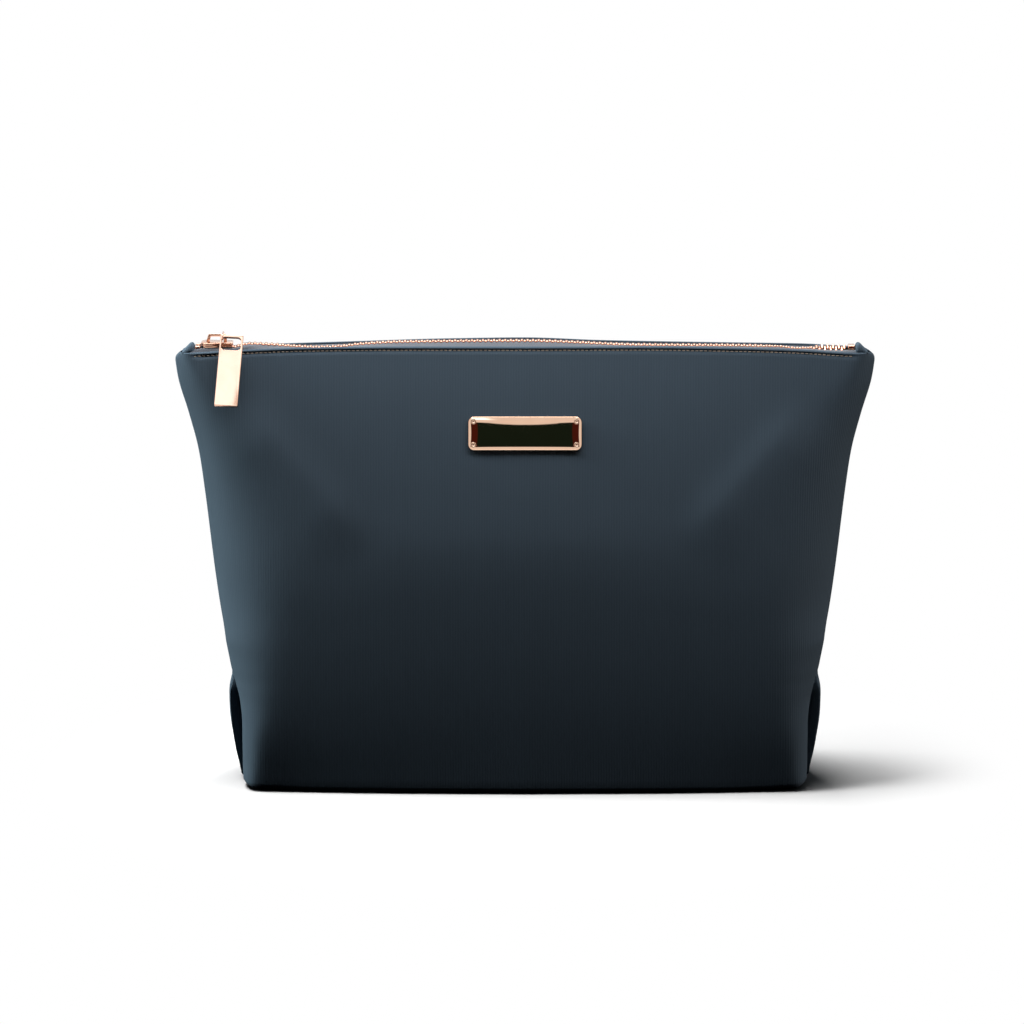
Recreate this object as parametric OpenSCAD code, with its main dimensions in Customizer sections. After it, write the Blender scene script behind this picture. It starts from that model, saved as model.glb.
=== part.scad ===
// Zippered pouch: a soft wedge-shaped pouch with tucked lower sides, a metal zip along
// its mouth, a slider with a bridge, a link and a long pull tab, and a riveted nameplate.
// Millimetres. The base rests on z = 0, the width runs along X and the front faces -Y.

/* [Pouch form] */
// Width across the two top corners
mouth_w = 242; // [226:1:262]
// Height of the folded top edge above the base
height = 150; // [135:1:175]
// Depth of the mouth at its middle, front fold to back fold
mouth_d = 14.4; // [13.6:0.2:15]
// Depth of the mouth at its ends
mouth_end_d = 11.2; // [10.6:0.2:12.4]
// How far the front crease starts inside the top corner
corner_cut = 4; // [3:0.5:6]
// Height at which the sides begin to flare out towards the mouth
neck_z = 109; // [100:1:116]
// Width across the sides at the neck
neck_w = 222; // [212:1:230]
// Distance between the soft creases of the front at the neck
neck_crease_w = 193; // [184:1:200]
// Depth between the creases at the neck
neck_crease_d = 29.6; // [26:0.2:33]
// Height at which the creases lie closest together
waist_z = 62; // [56:1:70]
// Distance between the creases at the waist
waist_w = 176; // [168:1:184]
// Depth between the creases at the waist
waist_d = 49; // [45:1:53]
// Width across the ridges of the side folds
side_w = 202; // [198:1:208]
// Length of the base between its front corners
base_w = 188; // [180:1:192]
// Depth of the base at its middle
base_d = 68; // [62:1:76]
// Depth of the base at its corners
base_end_d = 57; // [53:1:62]
// How far the side seam stands past the base corners
base_seam_out = 3; // [2:0.5:5]
// Rounding of the bottom edge
base_r = 4; // [3.5:0.25:6]
// How full the belly is: 1 is a straight wedge
belly = 1.6; // [1.2:0.1:2]

/* [Side folds] */
// Height of the deepest point of a side fold
fold_z = 20; // [17:1:24]
// Height over which a side fold dies out, up and down
fold_span = 22; // [18:1:26]
// How far the ridge of the fold leans to the front
fold_lean = 7; // [4:0.5:9]
// How deep the fold is tucked in behind the front corner
fold_tuck = 10.5; // [6:0.5:12]

/* [Fabric layers] */
// Thickness of the outer fabric
outer_t = 0.9; // [0.6:0.1:1.1]
// Thickness of the interlining
inter_t = 0.8; // [0.7:0.1:1]
// Thickness of the lining
lining_t = 0.4; // [0.3:0.1:0.5]
// Play between two layers
layer_gap = 0.1; // [0.08:0.02:0.16]
// Play between the front and the back half along the seams
seam_gap = 0.2; // [0.1:0.05:0.3]
// How far the interlining stops below the top fold
inter_drop = 11; // [10:0.5:14]

/* [Zip] */
// Length of one tooth step along a row
tooth_pitch = 1.9; // [1.8:0.05:2.2]
// Thickness of a tooth along the row
tooth_t = 0.8; // [0.6:0.05:0.85]
// Height of a tooth
tooth_h = 2.2; // [1.8:0.1:2.4]
// How far a tooth reaches past the middle of the chain
tooth_reach = 0.8; // [0.6:0.1:0.9]
// Half the width of the closed chain
chain_half_w = 2.2; // [2:0.1:2.3]
// Thickness of the tape
tape_t = 0.6; // [0.5:0.05:0.7]
// Depth of the middle of the tape below the top fold
tape_low = 1; // [0.8:0.1:1.2]
// Play between the tips of the teeth and the edge of the other tape
tape_play = 0.15; // [0.1:0.05:0.25]
// Distance from the middle to the tape's edge where the tapes part ahead of the slider
tape_split = 1.7; // [1.6:0.05:1.9]
// Width of the tape that is sewn down behind the top fold
tape_margin = 8; // [6:0.5:9]
// Distance from the top corner to each end of the tape
tape_in = 6.5; // [6:0.25:7]
// Length of a stop along the zip
stop_l = 1.8; // [1.4:0.1:2]
// Length of a folded end tab
end_tab_l = 3.8; // [3.2:0.2:4]
// Height of a folded end tab above the tape
end_tab_h = 3.2; // [2:0.2:4]
// Width of a folded end tab
end_tab_w = 8; // [6:0.5:8.5]

/* [Slider] */
// Distance from the left top corner to the slider's nose
slider_in = 10.4; // [10:0.2:13]
// Length of the slider
slider_l = 10.9; // [10:0.1:12]
// Width across the slider's shoulders
slider_w = 7.6; // [7.4:0.1:8.4]
// Width of the slider's tail
slider_tail_w = 6.2; // [6:0.1:6.6]
// Thickness of the slider's plates
slider_plate_t = 0.9; // [0.7:0.1:1.1]
// Half the slot that the tape runs through
slider_slot_half = 0.5; // [0.45:0.05:0.6]
// Play of the teeth inside the slider
slider_play = 0.12; // [0.1:0.02:0.2]
// Half the width of the wedge that parts the rows
wedge_half_w = 1.2; // [0.9:0.1:1.3]
// Length of the bridge on the slider
bridge_l = 6.8; // [6:0.1:7]
// Height of the bridge's bar above the slider
bridge_rise = 2.5; // [2.4:0.1:3.2]
// Diameter of the bridge's bar
bar_d = 1.3; // [1.1:0.1:1.5]
// Thickness of the bridge's legs
leg_t = 0.9; // [0.7:0.1:1]

/* [Pull] */
// Diameter of the link's wire
link_wire = 1; // [0.8:0.1:1.1]
// Distance between the two bars that the link joins
link_reach = 5.7; // [5.6:0.1:6.4]
// Play of the link on its bars
link_play = 0.15; // [0.12:0.02:0.2]
// Width of the pull tab
tab_w = 7.9; // [7.2:0.1:9]
// Length of the pull tab
tab_l = 26.6; // [22:0.2:30]
// Thickness of the pull tab
tab_t = 1.4; // [1:0.1:1.5]
// Width of the rails beside the tab's slot
tab_rail = 0.8; // [0.6:0.1:1]
// Height of the tab's slot below its bar
tab_slot_h = 4.6; // [4:0.1:6]
// Rounding of the slot's lower corners
tab_slot_r = 1.2; // [0.8:0.1:1.5]
// How far the hanging tab leans out from the vertical, in degrees
tab_lean = 36; // [36:1:44]
// How far the tab hangs askew, in degrees
tab_tilt = 1; // [0.5:0.5:4]

/* [Nameplate] */
// Width of the nameplate
plate_w = 38.6; // [34:0.2:44]
// Height of the nameplate
plate_h = 11.8; // [10:0.2:14]
// Thickness of the nameplate
plate_t = 1.8; // [1.4:0.1:2.2]
// Rounding of the nameplate's corners
plate_r = 2; // [1:0.1:3]
// Height of the nameplate's middle above the base
plate_z = 121; // [112:1:126]
// Distance from the plate's edges to a rivet
rivet_in = 1.9; // [1.7:0.1:2.4]
// Diameter of a rivet's shank
rivet_d = 1; // [0.8:0.1:1.2]
// Diameter of a rivet's head
rivet_head_d = 2; // [1.8:0.1:2.4]
// Height of a rivet's head
rivet_head_h = 0.5; // [0.4:0.1:0.7]
// Diameter of the washers behind the outer fabric
washer_d = 3; // [2.6:0.1:3.4]
// Thickness of a washer
washer_t = 0.4; // [0.3:0.05:0.45]

/* [Stitching] */
// Length of one step of the stitching
stitch_pitch = 1.5; // [1.3:0.1:2.5]
// Length of the thread that shows in one step
stitch_l = 1; // [0.7:0.05:1.1]
// Thickness of the thread
thread_d = 0.4; // [0.3:0.05:0.5]
// Depth of the stitch line below the top fold
stitch_low = 1.5; // [1.2:0.1:3]
// Distance from the top corner to the first stitch
stitch_in = 15; // [12:1:24]

/* [Hidden] */
$fn = 48;

navy = [0.18, 0.22, 0.26];
grey_felt = [0.62, 0.62, 0.6];
dark_lining = [0.12, 0.14, 0.17];
tape_blue = [0.3, 0.34, 0.39];
rose_gold = [0.8, 0.55, 0.45];
thread_taupe = [0.5, 0.47, 0.44];

front = -1;
back = 1;

// Depth of each layer's two faces behind the outside of the pouch
inter_d = outer_t + layer_gap;
lining_d = inter_d + inter_t + layer_gap;
inner_d = lining_d + lining_t;
tape_d = outer_t + 2 * layer_gap;
fit_gap = 0.15;
// Heights of the zip and its slider; the lining ends just below the slider's path
tape_z = height - tape_low;
channel_half_h = tooth_h / 2 + slider_play;
slider_half_h = channel_half_h + slider_plate_t;
slider_clear = 0.5;
lining_top = tape_z - slider_half_h - slider_clear;
// How far a cutting tool runs past the piece that it cuts
over = 1;

// A smooth curve through stations [place, value] that never swings past them
function span_at(t, q, i = 0) = i >= len(t) - 2 || q < t[i + 1][0] ? i : span_at(t, q, i + 1);
function rise_at(t, i) = (t[i + 1][1] - t[i][1]) / (t[i + 1][0] - t[i][0]);
function slope_at(t, i) =
  let (a = rise_at(t, max(i - 1, 0)), b = rise_at(t, min(i, len(t) - 2)))
  a * b <= 0 ? 0 : 2 * a * b / (a + b);
function smooth_at(t, q) =
  let (i = span_at(t, q), w = t[i + 1][0] - t[i][0], u = (q - t[i][0]) / w)
  (2 * pow(u, 3) - 3 * pow(u, 2) + 1) * t[i][1] + (pow(u, 3) - 2 * pow(u, 2) + u) * w * slope_at(t, i)
  + (3 * pow(u, 2) - 2 * pow(u, 3)) * t[i + 1][1] + (pow(u, 3) - pow(u, 2)) * w * slope_at(t, i + 1);
function ease(u) = let (v = min(max(u, 0), 1)) v * v * (3 - 2 * v);
function mix(a, b, k) = a + (b - a) * k;

// The pouch's form over its height; the ridges stand widest just above the folds
ridge_z = 1.5 * fold_z;
function seam_x(z) = smooth_at([[0, base_w / 2 + base_seam_out], [ridge_z, side_w / 2],
  [neck_z, neck_w / 2], [height, mouth_w / 2]], z);
function crease_x(z) = smooth_at([[0, base_w / 2], [waist_z, waist_w / 2],
  [neck_z, neck_crease_w / 2], [height, mouth_w / 2 - corner_cut]], z);
function crease_y(z) = smooth_at([[0, base_end_d / 2], [waist_z, waist_d / 2],
  [neck_z, neck_crease_d / 2], [height, mouth_end_d / 2]], z);
function middle_y(z) = mouth_d / 2 + (base_d - mouth_d) / 2 * (1 - pow(z / height, belly));
function face_y(x, z) = mix(middle_y(z), crease_y(z), pow(x / crease_x(z), 2));
function fold(z) = abs(z - fold_z) < fold_span ? pow(1 - pow((z - fold_z) / fold_span, 2), 2) : 0;

// Half a section from the side seam to the middle, at depth d behind the outside.
// The front half has the tuck behind its corner, the back half bows out a little.
tuck_turn = 0.5;
back_bow = 2;
seam_turn = 0.5;
crease_turn = 0.6;
near_share = 0.85;
far_share = 0.5;
function half_section(side, z, d) =
  let (b = fold(z))
  let (seam = [seam_x(z) - d, -fold_lean * b + seam_turn * d * b + side * seam_gap / 2])
  let (crease = [crease_x(z) - d * mix(crease_turn, 1, b), side * (crease_y(z) - d)])
  let (push = side == front ? [-fold_tuck, tuck_turn * fold_tuck] : [back_bow, 0])
  let (x_m = crease_x(z) * far_share, x_n = crease_x(z) * near_share)
  [seam, (seam + crease) / 2 + push * b, crease, [x_n, side * (face_y(x_n, z) - d)],
   [x_m, side * (face_y(x_m, z) - d)], [0, side * (middle_y(z) - d)]];
function full_section(side, z, d) =
  let (h = half_section(side, z, d), n = len(h) - 1)
  concat([for (p = h) [-p[0], p[1]]], [for (i = [n - 1:-1:0]) h[i]]);
function chord(p, i) = i == 0 ? 0 : chord(p, i - 1) + norm(p[i] - p[i - 1]);
half_steps = [4, 4, 2, 2, 2];
steps = concat(half_steps, [for (i = [4:-1:0]) half_steps[i]]);
function section(side, z, d) =
  let (p = full_section(side, z, d), outer = full_section(side, z, 0))
  let (t = [for (i = [0:len(p) - 1]) chord(outer, i)])
  let (tx = [for (i = [0:len(p) - 1]) [t[i], p[i][0]]])
  let (ty = [for (i = [0:len(p) - 1]) [t[i], p[i][1]]])
  [for (i = [0:len(steps) - 1]) for (k = [0:steps[i] - (i == len(steps) - 1 ? 0 : 1)])
    let (q = mix(t[i], t[i + 1], k / steps[i])) [smooth_at(tx, q), smooth_at(ty, q)]];

// Rows of points from the top edge down the wall, round the bottom edge and along the base
wall_rows = 13;
row_crowd = 1.2;
edge_turns = [45, 90];
base_shares = [0.5, 1];
function wall_z(top) = concat(top > height - inter_drop ? [top] : [],
  [for (i = [0:wall_rows]) base_r + (height - inter_drop - base_r) * pow(1 - i / wall_rows, row_crowd)]);
function lift(points, z) = [for (p = points) [p[0], p[1], z]];
function to_seam(points, k) =
  let (n = len(points) - 1)
  [for (i = [0:n]) mix(points[i], mix(points[0], points[n], i / n), k)];
function rows(side, top, d) =
  let (foot = section(side, base_r, base_r))
  concat([for (z = wall_z(top)) lift(section(side, z, d), z)],
    [for (a = edge_turns) lift(section(side, base_r, mix(base_r, d, cos(a))), mix(base_r, d, sin(a)))],
    [for (k = base_shares) lift(to_seam(foot, k), d)]);

// A closed skin between two such sheets, without the triangles that close up to a line
least_area = 1e-6;
function area(p, f) = norm(cross(p[f[1]] - p[f[0]], p[f[2]] - p[f[0]]));
module skin(side, top, d_out, d_in) {
  outside = rows(side, top, d_out);
  inside = rows(side, top, d_in);
  m = len(outside);
  n = len(outside[0]);
  points = concat([for (r = outside) each r], [for (r = inside) each r]);
  function at(r, c, layer) = layer * m * n + r * n + c;
  function quad(a, b, c, d) = [[a, b, c], [a, c, d]];
  // Both sheets are cut along the same diagonals, mirrored about the middle
  function cell(r, c, k) = 2 * c < n - 1
    ? quad(at(r, c, k), at(r, c + 1, k), at(r + 1, c + 1, k), at(r + 1, c, k))
    : quad(at(r, c + 1, k), at(r + 1, c + 1, k), at(r + 1, c, k), at(r, c, k));
  cells = [for (r = [0:m - 2]) for (c = [0:n - 2]) [r, c]];
  sheets = concat([for (q = cells) each cell(q[0], q[1], 0)],
    [for (q = cells) for (f = cell(q[0], q[1], 1)) [f[2], f[1], f[0]]]);
  ends = [for (c = [0:n - 2]) each concat(
    quad(at(0, c, 1), at(0, c + 1, 1), at(0, c + 1, 0), at(0, c, 0)),
    quad(at(m - 1, c, 0), at(m - 1, c + 1, 0), at(m - 1, c + 1, 1), at(m - 1, c, 1)))];
  sides = [for (r = [0:m - 2]) each concat(
    quad(at(r, 0, 1), at(r, 0, 0), at(r + 1, 0, 0), at(r + 1, 0, 1)),
    quad(at(r, n - 1, 0), at(r, n - 1, 1), at(r + 1, n - 1, 1), at(r + 1, n - 1, 0)))];
  solid = [for (f = concat(sheets, ends, sides)) if (area(points, f) > least_area) f];
  polyhedron(points, side == front ? solid : [for (f = solid) [f[2], f[1], f[0]]]);
}

// Nameplate frame: its own z points out of the front, its own y up the slope
plate_slope = atan((middle_y(plate_z - 1) - middle_y(plate_z + 1)) / 2);
module on_plate() {
  translate([0, -middle_y(plate_z), plate_z]) rotate([90 - plate_slope, 0, 0])
    translate([0, 0, fit_gap]) children();
}
rivet_x = plate_w / 2 - rivet_in;
rivet_y = plate_h / 2 - rivet_in;
module at_rivets() {
  for (x = [-rivet_x, rivet_x], y = [-rivet_y, rivet_y]) translate([x, y, 0]) children();
}
// The fabric falls away from the flat plate towards its ends
plate_sag = middle_y(plate_z) - face_y(rivet_x, plate_z) + 2 * fit_gap;
washer_top = -fit_gap - plate_sag - outer_t;
module through_fabric(d) {
  on_plate() at_rivets() translate([0, 0, -inner_d - over]) cylinder(h = inner_d + over, d = d);
}

module front_panel() {
  color(navy) difference() {
    skin(front, height, 0, outer_t);
    through_fabric(rivet_d + fit_gap);
  }
}
module back_panel() {
  color(navy) skin(back, height, 0, outer_t);
}
module front_interlining() {
  color(grey_felt) difference() {
    skin(front, height - inter_drop, inter_d, inter_d + inter_t);
    through_fabric(washer_d + 4 * fit_gap);
  }
}
module back_interlining() {
  color(grey_felt) skin(back, height - inter_drop, inter_d, inter_d + inter_t);
}
module front_lining() {
  color(dark_lining) skin(front, lining_top, lining_d, inner_d);
}
module back_lining() {
  color(dark_lining) skin(back, lining_top, lining_d, inner_d);
}

// Zip: the chain runs straight along X in the middle of the mouth
tape_end_x = mouth_w / 2 - tape_in;
slider_x = -mouth_w / 2 + slider_in;
wedge_start_in = 0.4;
wedge_wide_in = 1.9;
wedge_tip_in = 5;
wedge_tip_x = slider_x + wedge_tip_in;
wedge_l = wedge_tip_in - wedge_wide_in;
tape_edge = tooth_reach + tape_play;
tape_lead = 0.5;
parting_x = wedge_tip_x + 2 * tape_lead;
tape_stations = 24;
function tape_edge_y(x) = mix(tape_edge, tape_split, ease((wedge_tip_x + tape_lead - x) / wedge_l));
function mouth_y(x, z, d) = face_y(x, z) - d;
// The sewn margin runs out towards the ends, where the front turns into the side
hem_end = 1;
hem_taper = 14;
function hem_at(x) = mix(hem_end, tape_margin, ease((tape_end_x - abs(x)) / hem_taper));
function tape_section(side, x) =
  let (top = tape_z + tape_t / 2, low = tape_z - tape_t / 2, hem = tape_z - hem_at(x))
  let (a = tape_d, b = tape_d + tape_t, e = tape_edge_y(x))
  [for (p = [[e, top], [mouth_y(x, top, a), top], [mouth_y(x, hem, a), hem], [mouth_y(x, hem, b), hem],
    [mouth_y(x, low, b), low], [e, low]]) [x, side * p[0], p[1]]];
tape_x = concat([for (i = [0:tape_stations / 2]) mix(-tape_end_x, parting_x, 2 * i / tape_stations)],
  [for (i = [1:tape_stations]) mix(parting_x, tape_end_x, i / tape_stations)]);
module zip_tape(side) {
  sections = [for (x = tape_x) tape_section(side, x)];
  n = 6;
  last = len(sections) - 1;
  points = [for (s = sections) each s];
  walls = [for (i = [0:last - 1]) for (k = [0:n - 1])
    let (a = i * n + k, b = i * n + (k + 1) % n) each [[a, b, b + n], [a, b + n, a + n]]];
  // The end faces are an L, cut into two strips
  caps = [for (c = [[0, 1, 4], [0, 4, 5], [1, 2, 3], [1, 3, 4]]) each
    [[c[2], c[1], c[0]], [c[0] + last * n, c[1] + last * n, c[2] + last * n]]];
  faces = concat(walls, caps);
  color(tape_blue) polyhedron(points, side == front ? faces : [for (f = faces) [f[2], f[1], f[0]]]);
}

stop_gap = 0.25;
bottom_stop_l = 2.4;
end_tab_x = mouth_w / 2 - corner_cut;
bottom_stop_x = end_tab_x - end_tab_l - 2 * stop_gap - bottom_stop_l;
tooth_lead = 0.6;
first_tooth_x = wedge_tip_x + tooth_lead + tooth_t / 2;
tooth_count = floor((bottom_stop_x - first_tooth_x - tooth_pitch - tooth_t) / tooth_pitch);
slot_half = tape_t / 2 + layer_gap;
module tooth(side) {
  difference() {
    translate([-tooth_t / 2, side == front ? -chain_half_w : -tooth_reach, -tooth_h / 2])
      cube([tooth_t, chain_half_w + tooth_reach, tooth_h]);
    translate([-tooth_t, side == front ? -chain_half_w - over : tape_edge - layer_gap, -slot_half])
      cube([2 * tooth_t, chain_half_w + over - tape_edge + layer_gap, 2 * slot_half]);
  }
}
module zip_teeth(side) {
  shift = side == front ? 0 : tooth_pitch / 2;
  color(rose_gold) for (i = [0:tooth_count - 1])
    translate([first_tooth_x + i * tooth_pitch + shift, 0, tape_z]) tooth(side);
}
module clamp(l, w, y) {
  difference() {
    translate([0, y, tape_z - tooth_h / 2]) cube([l, w, tooth_h]);
    translate([-over, y + stop_gap, tape_z - slot_half]) cube([l + 2 * over, w, 2 * slot_half]);
  }
}
top_stop_x = slider_x - stop_gap - stop_l;
top_stop_y = tape_split - layer_gap - stop_gap;
module front_top_stop() {
  color(rose_gold) mirror([0, 1, 0]) translate([top_stop_x, 0, 0])
    clamp(stop_l, chain_half_w, top_stop_y);
}
module back_top_stop() {
  color(rose_gold) translate([top_stop_x, 0, 0]) clamp(stop_l, chain_half_w, top_stop_y);
}
module bottom_stop() {
  web = tape_edge - layer_gap;
  color(rose_gold) translate([bottom_stop_x, 0, tape_z]) difference() {
    translate([0, -chain_half_w, -tooth_h / 2]) cube([bottom_stop_l, 2 * chain_half_w, tooth_h]);
    for (m = [0, 1]) mirror([0, m, 0])
      translate([-over, web, -slot_half]) cube([bottom_stop_l + 2 * over, chain_half_w, 2 * slot_half]);
  }
}
// A folded end tab rises towards the chain and lies on both tapes
peak_share = 0.8;
foot_share = 0.33;
module end_tab() {
  rise = [[0, 0], [end_tab_l, 0], [end_tab_l, end_tab_h / 2], [peak_share * end_tab_l, end_tab_h],
    [0, foot_share * end_tab_h]];
  translate([-end_tab_x, 0, tape_z + tape_t / 2 + layer_gap]) rotate([90, 0, 0])
    linear_extrude(end_tab_w, center = true) polygon(rise);
}
module left_end_tab() {
  color(navy) end_tab();
}
module right_end_tab() {
  color(navy) mirror([1, 0, 0]) end_tab();
}

// Slider: two plates joined by a wedge at the nose, with flanges that hold the rows
tail_half_w = chain_half_w + slider_play;
nose_half_w = slider_w / 2 - (slider_tail_w / 2 - tail_half_w);
nose_cut = [1, 0.5];
shoulder_in = 3.4;
tail_in = 6.4;
module both_sides(edge) {
  n = len(edge) - 1;
  polygon(concat(edge, [for (i = [n:-1:0]) [edge[i][0], -edge[i][1]]]));
}
module slider_outline() {
  both_sides([[0, slider_w / 2 - nose_cut[1]], [nose_cut[0], slider_w / 2], [shoulder_in, slider_w / 2],
    [tail_in, slider_tail_w / 2], [slider_l, slider_tail_w / 2]]);
}
module slider_channel() {
  both_sides([[-over, nose_half_w], [shoulder_in, nose_half_w], [tail_in, tail_half_w],
    [slider_l + over, tail_half_w]]);
}
module slider_half() {
  translate([0, 0, channel_half_h]) linear_extrude(slider_plate_t) slider_outline();
  translate([0, 0, slider_slot_half]) linear_extrude(channel_half_h - slider_slot_half) difference() {
    slider_outline();
    slider_channel();
  }
}
module slider_body() {
  color(rose_gold) translate([slider_x, 0, tape_z]) {
    slider_half();
    mirror([0, 0, 1]) slider_half();
    translate([0, 0, -channel_half_h]) linear_extrude(2 * channel_half_h)
      polygon([[wedge_start_in, 0], [wedge_wide_in, wedge_half_w], [wedge_tip_in, 0],
        [wedge_wide_in, -wedge_half_w]]);
  }
}
bridge_in = 2.1;
bridge_x = slider_x + bridge_in;
bar_z = tape_z + slider_half_h + bridge_rise;
module slider_bridge() {
  leg_h = bridge_rise;
  color(rose_gold) {
    translate([bridge_x, 0, bar_z]) rotate([0, 90, 0]) cylinder(h = bridge_l, d = bar_d);
    for (x = [bridge_x, bridge_x + bridge_l - leg_t])
      translate([x, -bar_d / 2, bar_z - leg_h]) cube([leg_t, bar_d, leg_h]);
  }
}

// Pull: the link holds the bridge's bar at one end and the tab's bar at the other
link_x = bridge_x + bridge_l - leg_t - link_play - link_wire / 2;
link_r = bar_d / 2 + link_play + link_wire / 2;
module half_ring() {
  rotate_extrude(angle = 180) translate([link_r, 0]) circle(d = link_wire);
}
module pull_link() {
  color(rose_gold) translate([link_x, 0, bar_z]) rotate([0, 90, 0]) {
    half_ring();
    translate([0, -link_reach, 0]) rotate([0, 0, 180]) half_ring();
    for (x = [-link_r, link_r]) translate([x, 0, 0]) rotate([90, 0, 0])
      cylinder(h = link_reach, d = link_wire);
  }
}
module tab_slot() {
  w = tab_w / 2 - tab_rail;
  for (x = [-1, 1]) translate([x * (w - tab_slot_r), -tab_slot_h + tab_slot_r]) circle(r = tab_slot_r);
  translate([-w + tab_slot_r, -tab_slot_h]) square([2 * (w - tab_slot_r), tab_slot_h + over]);
  translate([-w, -tab_slot_h + tab_slot_r]) square([2 * w, tab_slot_h + over]);
}
tab_shift = tab_w / 2 - tab_rail - link_wire / 2 - 2 * link_play;
module pull_tab() {
  color(rose_gold) translate([link_x, -link_reach, bar_z]) rotate([-tab_lean, 0, 0])
    rotate([0, tab_tilt, 0]) translate([tab_shift, 0, 0]) {
      rotate([90, 0, 0]) linear_extrude(tab_t, center = true) difference() {
        translate([-tab_w / 2, -tab_l + bar_d / 2]) square([tab_w, tab_l - bar_d / 2]);
        tab_slot();
      }
      translate([-tab_w / 2, 0, 0]) rotate([0, 90, 0]) cylinder(h = tab_w, d = bar_d);
    }
}

module plate_outline() {
  for (x = [-1, 1], y = [-1, 1]) translate([x * (plate_w / 2 - plate_r), y * (plate_h / 2 - plate_r)])
    circle(r = plate_r);
  square([plate_w, plate_h - 2 * plate_r], center = true);
  square([plate_w - 2 * plate_r, plate_h], center = true);
}
module nameplate() {
  color(rose_gold) on_plate() difference() {
    linear_extrude(plate_t) plate_outline();
    at_rivets() translate([0, 0, -over]) cylinder(h = plate_t + 2 * over, d = rivet_d + fit_gap);
  }
}
rivet_tail = washer_top - washer_t;
module nameplate_rivets() {
  color(rose_gold) on_plate() at_rivets() {
    translate([0, 0, plate_t]) cylinder(h = rivet_head_h, d = rivet_head_d);
    translate([0, 0, rivet_tail]) cylinder(h = plate_t - rivet_tail, d = rivet_d);
  }
}
module nameplate_washers() {
  color(rose_gold) on_plate() at_rivets() translate([0, 0, rivet_tail]) difference() {
    cylinder(h = washer_t, d = washer_d);
    translate([0, 0, -over]) cylinder(h = washer_t + 2 * over, d = rivet_d + fit_gap);
  }
}

// Stitches lie just on the outer fabric, one cylinder each
stitch_count = floor((mouth_w - 2 * stitch_in) / stitch_pitch);
module topstitch(side) {
  z = height - stitch_low;
  color(thread_taupe) for (i = [0:stitch_count]) {
    x = (i - stitch_count / 2) * stitch_pitch;
    turn = side * atan((face_y(x + 1, z) - face_y(x - 1, z)) / 2);
    translate([x, side * (face_y(x, z) + thread_d / 2 + fit_gap), z]) rotate([0, 0, turn])
      rotate([0, 90, 0]) cylinder(h = stitch_l, d = thread_d, center = true);
  }
}

front_panel();
back_panel();
front_interlining();
back_interlining();
front_lining();
back_lining();
zip_tape(front);  // front_zip_tape
zip_tape(back);  // back_zip_tape
zip_teeth(front);  // front_zip_teeth
zip_teeth(back);  // back_zip_teeth
front_top_stop();
back_top_stop();
bottom_stop();
left_end_tab();
right_end_tab();
slider_body();
slider_bridge();
pull_link();
pull_tab();
nameplate();
nameplate_rivets();
nameplate_washers();
topstitch(front);  // front_topstitch
topstitch(back);  // back_topstitch
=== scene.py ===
import math

import bmesh
import bpy
import numpy as np
from mathutils import Matrix, Vector


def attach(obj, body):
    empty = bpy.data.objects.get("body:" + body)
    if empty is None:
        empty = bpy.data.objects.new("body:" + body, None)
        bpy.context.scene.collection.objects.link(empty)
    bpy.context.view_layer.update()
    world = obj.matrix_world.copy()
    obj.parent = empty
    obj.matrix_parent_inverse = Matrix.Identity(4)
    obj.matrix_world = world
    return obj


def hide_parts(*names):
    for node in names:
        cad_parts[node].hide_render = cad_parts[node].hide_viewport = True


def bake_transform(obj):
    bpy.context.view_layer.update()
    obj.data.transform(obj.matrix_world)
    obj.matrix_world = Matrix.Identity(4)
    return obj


# Zippered pouch. Sizes are in millimetres and turn into metres when a mesh is made.
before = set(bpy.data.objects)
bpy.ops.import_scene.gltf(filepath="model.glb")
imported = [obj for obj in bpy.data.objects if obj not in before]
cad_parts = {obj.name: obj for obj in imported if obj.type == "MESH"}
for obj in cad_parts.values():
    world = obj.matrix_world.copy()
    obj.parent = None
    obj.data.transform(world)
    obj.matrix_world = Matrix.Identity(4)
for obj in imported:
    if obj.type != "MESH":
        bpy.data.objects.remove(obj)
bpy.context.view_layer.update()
mm = 0.001
front, back = -1, 1
sides = {front: "front", back: "back"}
print("frame loaded")


def linear(hexColour):
    parts = [int(hexColour[i:i + 2], 16) / 255 for i in (1, 3, 5)]
    return [c / 12.92 if c <= 0.04045 else ((c + 0.055) / 1.055) ** 2.4 for c in parts] + [1.0]


def addNode(tree, kind, inputs=None, **settings):
    # inputs takes values or output sockets, by name or by number
    node = tree.nodes.new(kind)
    for key, value in settings.items():
        setattr(node, key, value)
    for key, value in (inputs or {}).items():
        if isinstance(value, bpy.types.NodeSocket):
            tree.links.new(value, node.inputs[key])
        else:
            node.inputs[key].default_value = value
    return node


def newMaterial(name):
    material = bpy.data.materials.new(name)
    material.use_nodes = True
    tree = material.node_tree
    tree.nodes.clear()
    shader = addNode(tree, "ShaderNodeBsdfPrincipled")
    addNode(tree, "ShaderNodeOutputMaterial", {"Surface": shader.outputs[0]})
    return material, tree, shader


# Materials

ribbedSatin = {
    "colour": "#36414b", "light": "#3e4a55", "ribPitch": 0.9, "threadPitch": 0.35,
    "roughness": 0.55, "sheen": 0.08, "bump": 0.05,
}


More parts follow.
